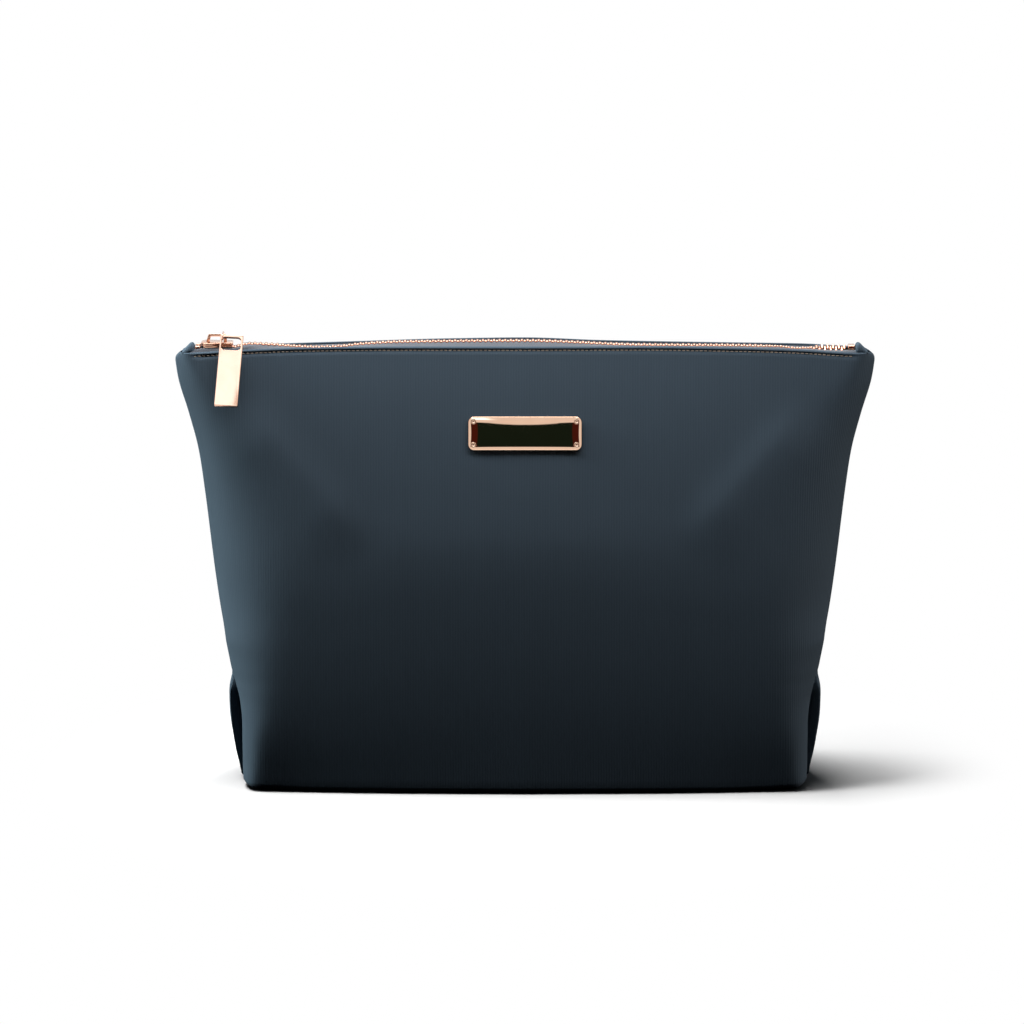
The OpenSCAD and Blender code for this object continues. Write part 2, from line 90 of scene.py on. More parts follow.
def makeRibbedSatin(name, look):
    # Ribbed navy satin: fine upright ribs that catch side light, and a soft sheen
    material, tree, shader = newMaterial(name)
    uv = addNode(tree, "ShaderNodeUVMap", uv_map="cloth").outputs[0]
    split = addNode(tree, "ShaderNodeSeparateXYZ", {0: uv})
    turn = addNode(tree, "ShaderNodeMath", {0: split.outputs[0], 1: 2 * math.pi / look["ribPitch"]}, operation="MULTIPLY")
    rib = addNode(tree, "ShaderNodeMath", {0: turn.outputs[0]}, operation="SINE").outputs[0]
    cross = addNode(tree, "ShaderNodeMath", {0: split.outputs[1], 1: 2 * math.pi / look["threadPitch"]}, operation="MULTIPLY")
    thread = addNode(tree, "ShaderNodeMath", {0: cross.outputs[0]}, operation="SINE").outputs[0]
    mottle = addNode(tree, "ShaderNodeTexNoise", {"Vector": uv, "Scale": 0.035, "Detail": 3.0})
    slub = addNode(tree, "ShaderNodeMapping", {0: uv, "Scale": (1.1, 0.05, 1.0)})
    slubs = addNode(tree, "ShaderNodeTexNoise", {"Vector": slub.outputs[0], "Scale": 1.0, "Detail": 2.0})
    # The colour moves a little with the ribs, the slubs and a wide mottle
    ribShare = addNode(tree, "ShaderNodeMath", {0: rib, 1: 0.22, 2: 0.2}, operation="MULTIPLY_ADD")
    slubShare = addNode(tree, "ShaderNodeMath", {0: slubs.outputs[0], 1: 0.3, 2: ribShare.outputs[0]}, operation="MULTIPLY_ADD")
    share = addNode(tree, "ShaderNodeMath", {0: mottle.outputs[0], 1: 0.3, 2: slubShare.outputs[0]}, operation="MULTIPLY_ADD")
    colour = addNode(tree, "ShaderNodeMix", {0: share.outputs[0], 6: linear(look["colour"]), 7: linear(look["light"])}, data_type="RGBA")
    height = addNode(tree, "ShaderNodeMath", {0: thread, 1: 0.25, 2: rib}, operation="MULTIPLY_ADD")
    bump = addNode(tree, "ShaderNodeBump", {"Height": height.outputs[0], "Strength": 0.35, "Distance": look["bump"] * mm})
    tree.links.new(colour.outputs[2], shader.inputs["Base Color"])
    tree.links.new(bump.outputs[0], shader.inputs["Normal"])
    shader.inputs["Roughness"].default_value = look["roughness"]
    shader.inputs["Specular IOR Level"].default_value = 0.0
    shader.inputs["Sheen Weight"].default_value = look["sheen"]
    shader.inputs["Sheen Roughness"].default_value = 0.45
    shader.inputs["Sheen Tint"].default_value = linear("#8fa0ad")
    return material


wovenTape = {"colour": "#3b3f46", "light": "#4f5259", "pitch": 0.55}


def makeWovenTape(name, look):
    # Woven polyester tape: a small herringbone with a dull face
    material, tree, shader = newMaterial(name)
    coords = addNode(tree, "ShaderNodeTexCoord").outputs["Object"]
    split = addNode(tree, "ShaderNodeSeparateXYZ", {0: coords})
    across = addNode(tree, "ShaderNodeMath", {0: split.outputs[1], 1: 1 / (2 * look["pitch"] * mm)}, operation="MULTIPLY")
    zigzag = addNode(tree, "ShaderNodeMath", {0: across.outputs[0], 1: 1.0}, operation="PINGPONG")
    along = addNode(tree, "ShaderNodeMath", {0: split.outputs[0], 1: 1 / (look["pitch"] * mm), 2: zigzag.outputs[0]}, operation="MULTIPLY_ADD")
    turn = addNode(tree, "ShaderNodeMath", {0: along.outputs[0], 1: 2 * math.pi}, operation="MULTIPLY")
    weave = addNode(tree, "ShaderNodeMath", {0: turn.outputs[0]}, operation="SINE")
    share = addNode(tree, "ShaderNodeMath", {0: weave.outputs[0], 1: 0.4, 2: 0.5}, operation="MULTIPLY_ADD")
    colour = addNode(tree, "ShaderNodeMix", {0: share.outputs[0], 6: linear(look["colour"]), 7: linear(look["light"])}, data_type="RGBA")
    bump = addNode(tree, "ShaderNodeBump", {"Height": weave.outputs[0], "Strength": 0.4, "Distance": 0.06 * mm})
    tree.links.new(colour.outputs[2], shader.inputs["Base Color"])
    tree.links.new(bump.outputs[0], shader.inputs["Normal"])
    shader.inputs["Roughness"].default_value = 0.7
    shader.inputs["Specular IOR Level"].default_value = 0.05
    shader.inputs["Sheen Weight"].default_value = 0.1
    return material


roseGold = {"colour": "#dfb49b", "worn": "#d3a288", "roughness": 0.14, "marks": 0.1}


def makeRoseGold(name, look):
    # Polished rose gold plating on cast zinc: bright, with faint polishing marks
    material, tree, shader = newMaterial(name)
    coords = addNode(tree, "ShaderNodeTexCoord").outputs["Object"]
    tarnish = addNode(tree, "ShaderNodeTexNoise", {"Vector": coords, "Scale": 1 / (6 * mm), "Detail": 3.0})
    stretch = addNode(tree, "ShaderNodeMapping", {0: coords, "Scale": (0.12, 1.0, 1.0)})
    marks = addNode(tree, "ShaderNodeTexNoise", {"Vector": stretch.outputs[0], "Scale": 1 / (0.25 * mm), "Detail": 2.0})
    colour = addNode(tree, "ShaderNodeMix", {0: tarnish.outputs[0], 6: linear(look["colour"]), 7: linear(look["worn"])}, data_type="RGBA")
    least = look["roughness"] - look["marks"] / 2
    rough = addNode(tree, "ShaderNodeMath", {0: marks.outputs[0], 1: look["marks"], 2: least}, operation="MULTIPLY_ADD")
    tree.links.new(colour.outputs[2], shader.inputs["Base Color"])
    tree.links.new(rough.outputs[0], shader.inputs["Roughness"])
    shader.inputs["Metallic"].default_value = 1.0
    return material


def makeCloth(name, dark, light, grain, roughness):
    # Plain cloth or felt: a soft grain of fibres and no gloss
    material, tree, shader = newMaterial(name)
    coords = addNode(tree, "ShaderNodeTexCoord").outputs["Object"]
    fibre = addNode(tree, "ShaderNodeTexNoise", {"Vector": coords, "Scale": 1 / (grain * mm), "Detail": 4.0})
    colour = addNode(tree, "ShaderNodeMix", {0: fibre.outputs[0], 6: linear(dark), 7: linear(light)}, data_type="RGBA")
    bump = addNode(tree, "ShaderNodeBump", {"Height": fibre.outputs[0], "Strength": 0.4, "Distance": 0.1 * mm})
    tree.links.new(colour.outputs[2], shader.inputs["Base Color"])
    tree.links.new(bump.outputs[0], shader.inputs["Normal"])
    shader.inputs["Roughness"].default_value = roughness
    shader.inputs["Specular IOR Level"].default_value = 0.15
    return material


satin = makeRibbedSatin("ribbed navy satin", ribbedSatin)
tapeWeave = makeWovenTape("woven zip tape", wovenTape)
gold = makeRoseGold("polished rose gold plating", roseGold)
mirrorGold = makeRoseGold("mirror-polished rose gold", {"colour": "#e6c2a8", "worn": "#e0b79c", "roughness": 0.03, "marks": 0.0})
toothGold = makeRoseGold("tumbled rose gold", {"colour": "#d6a891", "worn": "#c8937b", "roughness": 0.22, "marks": 0.08})
threadTwist = makeCloth("taupe sewing thread", "#857a70", "#a09488", 0.2, 0.75)
liningWeave = makeCloth("dark lining weave", "#1e2329", "#2b323a", 0.4, 0.7)
felt = makeCloth("grey felt interlining", "#8b8a86", "#a9a8a3", 0.8, 0.95)
print("materials made")


# Meshes

def addObject(name, data):
    made = bpy.data.objects.new(name, data)
    bpy.context.scene.collection.objects.link(made)
    return made


def cleanMesh(mesh, near):
    # Weld points that lie together and turn all faces outward
    clean = bmesh.new()
    clean.from_mesh(mesh)
    bmesh.ops.remove_doubles(clean, verts=clean.verts, dist=near)
    bmesh.ops.recalc_face_normals(clean, faces=clean.faces)
    clean.to_mesh(mesh)
    clean.free()
    mesh.shade_smooth()


def meshPiece(name, points, faces, material, uv=None):
    mesh = bpy.data.meshes.new(name)
    mesh.from_pydata((np.asarray(points, float) * mm).tolist(), [], [list(f) for f in faces])
    if uv is not None:
        layer = mesh.uv_layers.new(name="cloth")
        corners = np.zeros(len(mesh.loops), np.int32)
        mesh.loops.foreach_get("vertex_index", corners)
        layer.data.foreach_set("uv", np.asarray(uv, np.float32)[corners].ravel())
    piece = addObject(name, mesh)
    mesh.materials.append(material)
    cleanMesh(mesh, 2e-6)
    return piece


def settle(piece, body, slot, *nodes):
    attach(piece, body)
    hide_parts(*nodes)
    return piece


def smoothAt(stations, q):
    # A smooth curve through (place, value) stations that never swings past them
    place, value = np.array(stations, float).T
    rise = np.diff(value) / np.diff(place)
    a, b = np.append(rise[0], rise), np.append(rise, rise[-1])
    slope = np.where(a * b > 0, 2 * a * b / np.where(a * b > 0, a + b, 1), 0)
    i = np.clip(np.searchsorted(place, q, side="right") - 1, 0, len(place) - 2)
    w = place[i + 1] - place[i]
    u = (np.asarray(q, float) - place[i]) / w
    return ((2 * u**3 - 3 * u**2 + 1) * value[i] + (u**3 - 2 * u**2 + u) * w * slope[i]
            + (3 * u**2 - 2 * u**3) * value[i + 1] + (u**3 - u**2) * w * slope[i + 1])


def ease(u):
    v = np.clip(u, 0, 1)
    return v * v * (3 - 2 * v)


def mix(a, b, k):
    return a + (b - a) * k


# Pouch form

pouch = {
    "height": 150, "baseR": 2.4,
    # (height, distance from the middle plane) down the middle of the front and back
    "middle": [(0, 34), (30, 31.6), (60, 28.2), (82, 25.1), (100, 20.6), (125, 13.8), (150, 7.2)],
    # (height, size) stations of the side seam, the front and back creases and the swell of the sides between them
    "seamX": [(0, 97.4), (5, 98.3), (11, 99.6), (20, 100.8), (30, 101.3), (36, 100.9), (40, 101), (45, 102.5), (50, 103.5),
              (58, 104.9), (72, 106.8), (100, 110), (114, 111.9), (128, 115.2), (141, 118.7), (150, 119.9)],
    "creaseX": [(0, 94), (8, 92.5), (20, 91.2), (30, 90), (45, 90), (62, 89), (80, 89.5), (109, 95), (150, 115.5)],
    "creaseY": [(0, 29.5), (15, 30), (62, 25), (109, 14.8), (150, 5.6)],
    "sideBow": [(0, 0), (36, 0.5), (46, 1.5), (58, 3), (75, 4), (109, 3), (150, 0)],
    # Rounding at the creases, and along the rest of the sides
    "soften": [(0, 2.8), (15, 3.4), (30, 5), (45, 7), (65, 8.5), (90, 9), (120, 6), (150, 1.2)],
    "softenSide": [(0, 1.2), (30, 1.2), (44, 1.7), (60, 5), (90, 7), (120, 5), (150, 1.2)],
    # The side fold: its edge, how far the seam leans to the front, and where its valley is tucked in behind the edge
    "edgeX": [(0, 96.2), (3, 97.1), (8, 97.2), (22, 97.5), (27, 98.1), (31, 98.9),
              (35, 100.3), (38, 101.2), (42, 101.9), (46, 102.7), (52, 103.9), (60, 105.2)],
    "edgeY": [(0, 19), (22, 18.5), (31, 15), (40, 10), (46, 9), (60, 10)],
    "valley": (88, -5), "pocket": (42, 10), "shoulder": (74, 27), "foldLean": 13, "backBow": 2,
    "seamGap": 0.004, "cornerR": 3.5, "cornerLift": 0.7,
    "tension": {"from": (100, 133), "to": (55, 84), "height": 1.6, "above": 5, "below": 9},
    # (x, height) of the two top folds, which sag towards their ends
    "rim": {
        front: [(-120, 147.7), (-95, 149.3), (-77, 150.1), (-60, 150.4), (-42, 150.55), (0, 150.55),
                (39, 150.6), (70, 150.15), (94, 149.35), (108, 148.4), (120, 147.8)],
        back: [(-120, 147.8), (-91, 149.2), (-60, 150.1), (-26, 151.1), (0, 151.4), (26, 150.5), (60, 149.9), (94, 149.5), (120, 148)],
    },
}
columns = 94  # on each half of a section


def middleY(z):
    return float(smoothAt(pouch["middle"], z))


def tension(x, z):
    # Soft ridges that run from the top corners down towards the middle
    t = pouch["tension"]
    start, end = np.array(t["from"], float), np.array(t["to"], float)
    way = end - start
    p = np.stack([np.abs(x), np.asarray(z, float)], -1) - start
    along, across = p @ way / (way @ way), p @ np.array([way[1], -way[0]]) / np.hypot(*way)
    wide = np.where(across > 0, t["above"], t["below"])
    return t["height"] * np.exp(-0.5 * (across / wide) ** 2) * ease(along / 0.3) * ease((1.05 - along) / 0.35)


def halfSection(side, z, depth):
    # From the side seam over the side fold and the crease to the middle
    p = pouch
    low = float(ease((z + 6) / 9))
    inner = min(depth, 2.3) + 0.2 * max(depth - 2.3, 0)
    b, edge = (float(ease((top - z) / run)) * low for top, run in (p["pocket"], p["shoulder"]))
    roof = float(ease((p["pocket"][0] + 1.6 * inner - z) / p["pocket"][1])) * low
    creaseX, creaseY = float(smoothAt(p["creaseX"], z)), float(smoothAt(p["creaseY"], z))
    seam = np.array([float(smoothAt(p["seamX"], z)) - depth, side * p["seamGap"] / 2])
    seam += np.array([-0.2 * inner, 2.05 * inner - p["foldLean"]]) * b
    crease = np.array([creaseX - depth * mix(0.6, 1, b), side * (creaseY - depth)])
    facet = crease - seam
    swell = np.array([abs(facet[1]), side * abs(facet[0])]) / np.hypot(*facet) * float(smoothAt(p["sideBow"], z)) * 0.9
    first, second = seam + facet * mix(1 / 3, 0.12, edge) + swell * (1 - b), seam + facet * 2 / 3 + swell * (1 - b)
    if side == front:
        edgeX, edgeY = float(smoothAt(p["edgeX"], z)), float(smoothAt(p["edgeY"], z))
        fold = np.array([edgeX - depth * mix(1, 1.2, roof), depth * mix(0.33, -0.15, roof) - edgeY])
        first, second = mix(first, p["valley"] + np.array([-1.1, 0.8]) * inner, roof), mix(second, fold, edge)
    else:
        bow = [p["backBow"] * b * float(ease(z / 25)), 0]
        first, second = first + bow, second + bow
    points = [seam, first, second, crease]
    for share in (0.85, 0.5, 0):
        points.append([creaseX * share, side * (mix(middleY(z), creaseY, share**2) - depth)])
    return np.array(points)


samples = 401
pick = np.linspace(0, 1, columns)
pick = 0.45 * pick + 0.55 * pick**2  # closer together near the side fold


def bell(curve, width):
    # Smooth a curve; its first end stays put and its last end mirrors
    reach = int(3 * width) + 1
    weights = np.exp(-0.5 * (np.arange(-reach, reach + 1) / width) ** 2)
    before = 2 * curve[0] - curve[reach:0:-1]
    after = curve[-2:-reach - 2:-1] * [-1, 1]
    long = np.concatenate([before, curve, after])
    return np.stack([np.convolve(long[:, k], weights / weights.sum(), "valid") for k in (0, 1)], 1)


def section(side, z, depth):
    outer, points = halfSection(side, z, 0), halfSection(side, z, depth)
    t = np.append(0, np.cumsum(np.hypot(*np.diff(outer, axis=0).T)))
    q = np.linspace(0, t[-1], samples)
    curve = np.stack([smoothAt(np.stack([t, points[:, k]], 1), q) for k in (0, 1)], 1)
    wide, fine = float(smoothAt(pouch["soften"], z)), float(smoothAt(pouch["softenSide"], z))
    near = np.exp(-((q - t[3]) / (2.2 * wide + 5)) ** 2)[:, None]
    step = q[1]
    soft = mix(bell(curve, fine / step), bell(curve, wide / step), near)
    at = pick * (samples - 1)
    half = np.stack([np.interp(at, np.arange(samples), soft[:, k]) for k in (0, 1)], 1)
    return np.concatenate([half * [-1, 1], half[-2::-1]])


def roundCorner(points):
    # The two top corners are rounded
    r = pouch["cornerR"]
    x0, z0 = pouch["seamX"][-1][1] - r, pouch["height"] - r
    a, b = np.clip((np.abs(points[:, 0]) - x0) / r, 0, 1.2), np.clip((points[:, 2] - z0) / r, 0, 1)
    both = (a > 0) & (b > 0)
    x = np.where(both, np.sign(points[:, 0]) * (x0 + r * a * np.sqrt(np.clip(1 - b * b / 2, 0, 1))), points[:, 0])
    z = np.where(both, z0 + r * b * np.sqrt(np.clip(1 - a * a / 2, 0, 1)), points[:, 2])
    return np.stack([x, points[:, 1], z], 1)


def archAt(side, x, z):
    return (smoothAt(pouch["rim"][side], x) - pouch["height"]) * ease((z - 95) / 55)


def wallRow(side, z, depth, level=None):
    flat = section(side, z, depth)
    points = np.column_stack([flat, np.full(len(flat), z if level is None else level, float)])
    points[:, 1] += side * tension(points[:, 0], points[:, 2])
    points = roundCorner(points)
    lift = pouch["cornerLift"] * ease((np.abs(points[:, 0]) - 70) / 27) * (1 - ease(points[:, 2] / 25))
    points[:, 2] += archAt(side, points[:, 0], points[:, 2]) + lift
    return points


def bottomRows(side, depth):
    # Round the bottom edge, then run flat along the base to the base seam
    r = pouch["baseR"]
    rows = [wallRow(side, r, mix(r, depth, math.cos(a)), mix(r, depth, math.sin(a))) for a in np.radians(np.linspace(12, 90, 7))]
    foot = rows[-1]
    share = np.linspace(0, 1, len(foot))[:, None]
    line = mix(foot[0], foot[-1], share)
    return rows + [mix(foot, line, k) for k in np.linspace(0, 1, 13)[1:]]


def clothShell(name, outer, inner, rim, material):
    # A closed skin: the outer rows, the rim between their tops, and the inner rows
    rows = list(inner[::-1]) + list(rim) + list(outer)
    n = len(rows[0])
    faces = [(r * n + c, r * n + c + 1, (r + 1) * n + c + 1, (r + 1) * n + c) for r in range(len(rows) - 1) for c in range(n - 1)]
    faces += [(c, c + 1, (len(rows) - 1) * n + c + 1, (len(rows) - 1) * n + c) for c in range(n - 1)]
    first, last = len(inner), len(inner) + len(rim)
    for c in (0, n - 1):
        pairs = [(first - 1 - k, last + k) for k in range(len(outer))]
        faces += [(a * n + c, b * n + c, d * n + c, e * n + c) for (a, b), (e, d) in zip(pairs, pairs[1:])]
        faces.append([r * n + c for r in range(first - 1, last + 1)])
    grid = np.array(rows)
    run = np.linalg.norm(np.diff(grid[:, :, :2], axis=1), axis=2)
    u = np.concatenate([np.zeros((len(rows), 1)), np.cumsum(run, 1)], 1)
    u -= u[:, n // 2:n // 2 + 1]
    drop = np.linalg.norm(np.diff(grid[:, n // 2], axis=0), axis=1)
    v = np.repeat(np.append(0, np.cumsum(drop))[:, None], n, 1)
    uv = np.stack([u.ravel(), v.ravel()], 1)
    return meshPiece(name, grid.reshape(-1, 3), faces, material, uv)


hem = {
    # (height, depth behind the outside) from the fold's rim down to the plain wall
    "lip": [(149.8, -0.06), (149.65, -0.22), (149.5, -0.26), (149.35, -0.2), (149.2, 0.05), (149.05, 0.32), (148.85, 0.48),
            (148.6, 0.5), (148.35, 0.42), (148.1, 0.22), (147.85, 0.06), (147.5, -0.02), (147.1, -0.03), (146.6, 0)],
    "rim": [(149.8, 0.84), (149.95, 0.66), (150.0, 0.45), (149.93, 0.2)],
    "thickness": 0.9, "stitchZ": 148.7, "stitchDepth": 0.28,
}
wallZ = np.concatenate([np.arange(145.4, 48, -2.1), np.arange(47.5, 4.5, -1.15), [pouch["baseR"]]])


def hemRow(side, z, depth):
    # The stitched hem runs out to a plain fold at the corners
    row = wallRow(side, z, 0)
    return mix(wallRow(side, z, depth), row, ease((np.abs(row[:, :1]) - 109) / 6))


def makePanel(side):
    outer = [hemRow(side, z, d) for z, d in hem["lip"]] + [wallRow(side, z, 0) for z in wallZ] + bottomRows(side, 0)
    t = hem["thickness"]
    inner = [wallRow(side, z, t) for z, d in hem["lip"]] + [wallRow(side, z, t) for z in wallZ] + bottomRows(side, t)
    rim = [wallRow(side, z, d) for z, d in hem["rim"]]
    return clothShell(sides[side] + "Panel", outer, inner, rim, satin)


layers = {"interlining": (139, 1.12, 1.68), "lining": (146.2, 1.95, 2.25)}


def makeLayer(side, kind, material):
    top, outside, inside = layers[kind]
    zs = np.append(top, wallZ[wallZ < top - 0.5])
    outer, inner = ([wallRow(side, z, d) for z in zs] + bottomRows(side, d) for d in (outside, inside))
    return clothShell(sides[side] + kind.capitalize(), outer, inner, [], material)


for side, word in sides.items():
    panel = settle(makePanel(side), "pouch", "outer_fabric", word + "_panel")
    felting = settle(makeLayer(side, "interlining", felt), "pouch", "interlining", word + "_interlining")
    inside = settle(makeLayer(side, "lining", liningWeave), "pouch", "lining", word + "_lining")
print("pouch shells made")


# Zip tapes and chain

zipper = {
    "z": 149, "tapeT": 0.5, "edge": 0.95, "split": 1.7, "endX": 114.5, "tipX": -105.6, "wideX": -108.7,
    "pitch": 1.9, "firstX": -104.6, "count": 113,
    # (x, height) of the chain, which lies in slack waves, and (x, degrees) of its twist near the right end
    "wave": [(-115, 148.2), (-110.6, 149), (-99.7, 149), (-94, 150.1), (-86, 149.8), (-78, 149.2), (-71, 148.9), (-63, 149.2), (-56, 150),
             (-42, 150.75), (0, 151.1), (39, 149.7), (70, 149.5), (86, 149.1), (93, 148.4), (100, 148.7), (106, 148.6), (115, 148.3)],
    "twist": [(-115, 0), (79, 0), (86, -13), (95, -13), (99, 6), (103, 30), (109, 26), (112, 8), (115, 0)],
}


def chainZ(x):
    return smoothAt(zipper["wave"], x)


def chainTwist(x):
    return np.radians(smoothAt(zipper["twist"], x))


def tapeEdge(x):
    z = zipper
    return mix(z["edge"], z["split"], ease((z["tipX"] + 0.5 - x) / (z["tipX"] - z["wideX"])))


def wallAt(side, x, z, depth):
    curve = section(side, z, depth)
    return np.interp(x, curve[:, 0], side * curve[:, 1])


marginLevels, marginDepths = (141, 145, 149), (1.05, 1.55)


def wallLevels(side, depth):
    curves = [section(side, z, depth) for z in marginLevels]
    return lambda x: [np.interp(x, c[:, 0], side * c[:, 1]) for c in curves]


marginWall = {(side, d): wallLevels(side, d) for side in sides for d in marginDepths}


def loft(rows):
    # Closed rows of points, run into a skin with two end caps
    m, n = len(rows), len(rows[0])
    faces = [(r * n + c, r * n + (c + 1) % n, (r + 1) * n + (c + 1) % n, (r + 1) * n + c) for r in range(m - 1) for c in range(n)]
    faces += [list(range(n)), [(m - 1) * n + c for c in range(n)]]
    return np.concatenate(rows), faces


def makeTape(side, half):
    # One half of a tape, from the chain to the fold; half is -1 on the left and 1 on the right
    x = np.linspace(0, zipper["endX"], 116) * half
    tip, wall = tapeEdge(x), wallAt(side, x, zipper["z"], 1.0)
    low, turn = zipper["z"] + archAt(side, x, zipper["z"]), chainTwist(x)
    across = np.linspace(0, 1, 9)
    level = 0.62 * ease((np.abs(x) - 88) / 8)  # flat between the slider's lips at both ends of its way
    rows = []
    for k in range(len(x)):
        y0, z0 = side * tip[k] * math.cos(turn[k]), chainZ(x[k]) + side * tip[k] * math.sin(turn[k])
        y, z = mix(y0, side * wall[k], across), mix(z0, low[k], ease((across - level[k]) / (1 - level[k])))
        t = zipper["tapeT"] / 2
        top = np.stack([np.full(9, x[k]), y, z + t], 1)
        rows.append(np.concatenate([top, top[::-1] - [0, 0, 2 * t]]))
    word = sides[side] + "Tape" + ("Left" if half < 0 else "Right")
    piece = meshPiece(word, *loft(rows), tapeWeave)
    piece.data.set_sharp_from_angle(angle=math.radians(60))
    return piece


def makeMargin(side):
    # The sewn margin of a tape, flat behind the top fold
    rows = []
    for x in np.linspace(-112, 112, 113):
        z = zipper["z"] - 0.3 - np.linspace(0, 1, 7) * mix(1, 8, float(ease((114 - abs(x)) / 14)))
        outer, inner = (np.stack([np.full(7, x), side * np.interp(z, marginLevels, marginWall[side, d](x)), z + archAt(side, x, z)], 1)
                        for d in marginDepths)
        rows.append(np.concatenate([outer, inner[::-1]]))
    return meshPiece(sides[side] + "TapeMargin", *loft(rows), tapeWeave)


def toothModel():
    # Half-width and top height along the tooth, from its clamp to its rounded head
    stations = [(-2.05, 0.26, 0.4), (-1.9, 0.42, 0.62), (-1.35, 0.5, 0.74), (-0.9, 0.36, 0.66),
                (0.05, 0.36, 0.62), (0.5, 0.4, 0.66), (0.75, 0.22, 0.4)]
    outline = [(1, -0.6), (1, 0.6), (0.6, 1), (-0.6, 1), (-1, 0.6), (-1, -0.6), (-0.6, -1), (0.6, -1)]
    points, faces = loft([[(a * w, y, b * h) for a, b in outline] for y, w, h in stations])
    return meshPiece("tooth", points, faces, toothGold)


def scatterTree():
    # Copies of one model on points, each turned by the point's own angles
    tree = bpy.data.node_groups.new("copies on places", "GeometryNodeTree")
    sockets = {}
    for name, kind in (("Places", "Geometry"), ("Model", "Object"), ("Model Size", "Float"), ("Finish", "Material")):
        sockets[name] = tree.interface.new_socket(name=name, in_out="INPUT", socket_type="NodeSocket" + kind).identifier
    tree.interface.new_socket(name="Copies", in_out="OUTPUT", socket_type="NodeSocketGeometry")
    start = addNode(tree, "NodeGroupInput").outputs
    model = addNode(tree, "GeometryNodeObjectInfo", {"Object": start["Model"], "As Instance": True})
    angles = addNode(tree, "GeometryNodeInputNamedAttribute", {"Name": "turn"}, data_type="FLOAT_VECTOR")
    turn = addNode(tree, "FunctionNodeEulerToRotation", {0: angles.outputs[0]})
    copies = addNode(tree, "GeometryNodeInstanceOnPoints", {
        "Points": start["Places"], "Instance": model.outputs["Geometry"],
        "Rotation": turn.outputs[0], "Scale": start["Model Size"],
    })
    real = addNode(tree, "GeometryNodeRealizeInstances", {0: copies.outputs[0]})
    finish = addNode(tree, "GeometryNodeSetMaterial", {0: real.outputs[0], "Material": start["Finish"]})
    addNode(tree, "NodeGroupOutput", {0: finish.outputs[0]})
    return tree, sockets


copyTree, copySockets = scatterTree()


def scatter(name, places, turns, model, material, size=1.0):
    mesh = bpy.data.meshes.new(name)
    mesh.from_pydata((np.asarray(places, float) * mm).tolist(), [], [])
    angles = mesh.attributes.new("turn", "FLOAT_VECTOR", "POINT")
    angles.data.foreach_set("vector", np.asarray(turns, np.float32).ravel())
    holder = addObject(name + ".places", mesh)
    modifier = holder.modifiers.new("copies", "NODES")
    modifier.node_group = copyTree
    for key, value in (("Model", model), ("Model Size", size), ("Finish", material)):
        modifier[copySockets[key]] = value
    plain = bpy.data.meshes.new_from_object(holder.evaluated_get(bpy.context.evaluated_depsgraph_get()))
    bpy.data.objects.remove(holder)
    plain.name = name
    if not plain.materials:
        plain.materials.append(material)
    plain.shade_smooth()
    return addObject(name, plain)


def makeTeeth(side, half, model):
    z = zipper
    x = z["firstX"] + z["pitch"] * (np.arange(z["count"]) + (0 if side == front else 0.5))
    x = x[x * half > 0] if half > 0 else x[x <= 0]
    slope = np.arctan(chainZ(x + 0.5) - chainZ(x - 0.5))
    places = np.stack([x, np.zeros(len(x)), chainZ(x)], 1)
    turns = np.stack([side * -chainTwist(x), side * slope, np.full(len(x), 0 if side == front else math.pi)], 1)
    return scatter(sides[side] + "Teeth" + ("Left" if half < 0 else "Right"), places, turns, model, toothGold)


tooth = toothModel()
for side, word in sides.items():
    flap, tapes = word + "_flap", []
    for half in (-1, 1):
        tape, teeth = makeTape(side, half), makeTeeth(side, half, tooth)
        for piece, slot, node in ((tape, "zip_tape", "_zip_tape"), (teeth, "rose_gold", "_zip_teeth")):
            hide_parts(word + node)
            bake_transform(piece)
        tapes.append(tape)
    margin = settle(makeMargin(side), "pouch", "zip_tape", word + "_zip_tape")
bpy.data.objects.remove(tooth)
print("zip made")


# Stitches along the two top folds

stitching = {"pitch": 1.5, "length": 1.05, "thread": 0.36, "endX": 112.5}


def stitchModel():
    l, r = stitching["length"] / 2, stitching["thread"] / 2
    rings = [(-l, 0.3), (-0.75 * l, 0.9), (-0.3 * l, 1), (0.3 * l, 1), (0.75 * l, 0.9), (l, 0.3)]
    n = 8
    turn = np.arange(n) * 2 * math.pi / n
    rows = [[(x, r * w * math.cos(a), r * w * math.sin(a) - 0.12 * (x / l) ** 2) for a in turn] for x, w in rings]
    return meshPiece("stitch", *loft(rows), threadTwist)


def makeStitches(side, model):
    reach = stitching["endX"]
    x = np.arange(-reach, reach, stitching["pitch"])
    z = hem["stitchZ"]
    y = wallAt(side, x, z, hem["stitchDepth"])
    slope = np.arctan(np.gradient(y, x)) * side
    places = np.stack([x, side * y, z + archAt(side, x, np.full(len(x), z))], 1)
    turns = np.stack([np.full(len(x), math.pi / 2 * -side), np.zeros(len(x)), slope], 1)
    return scatter(sides[side] + "Topstitch", places, turns, model, threadTwist)


stitch = stitchModel()
for side, word in sides.items():
    settle(makeStitches(side, stitch), "pouch", "thread", word + "_topstitch")
bpy.data.objects.remove(stitch)
print("stitches made")


# Metal pieces

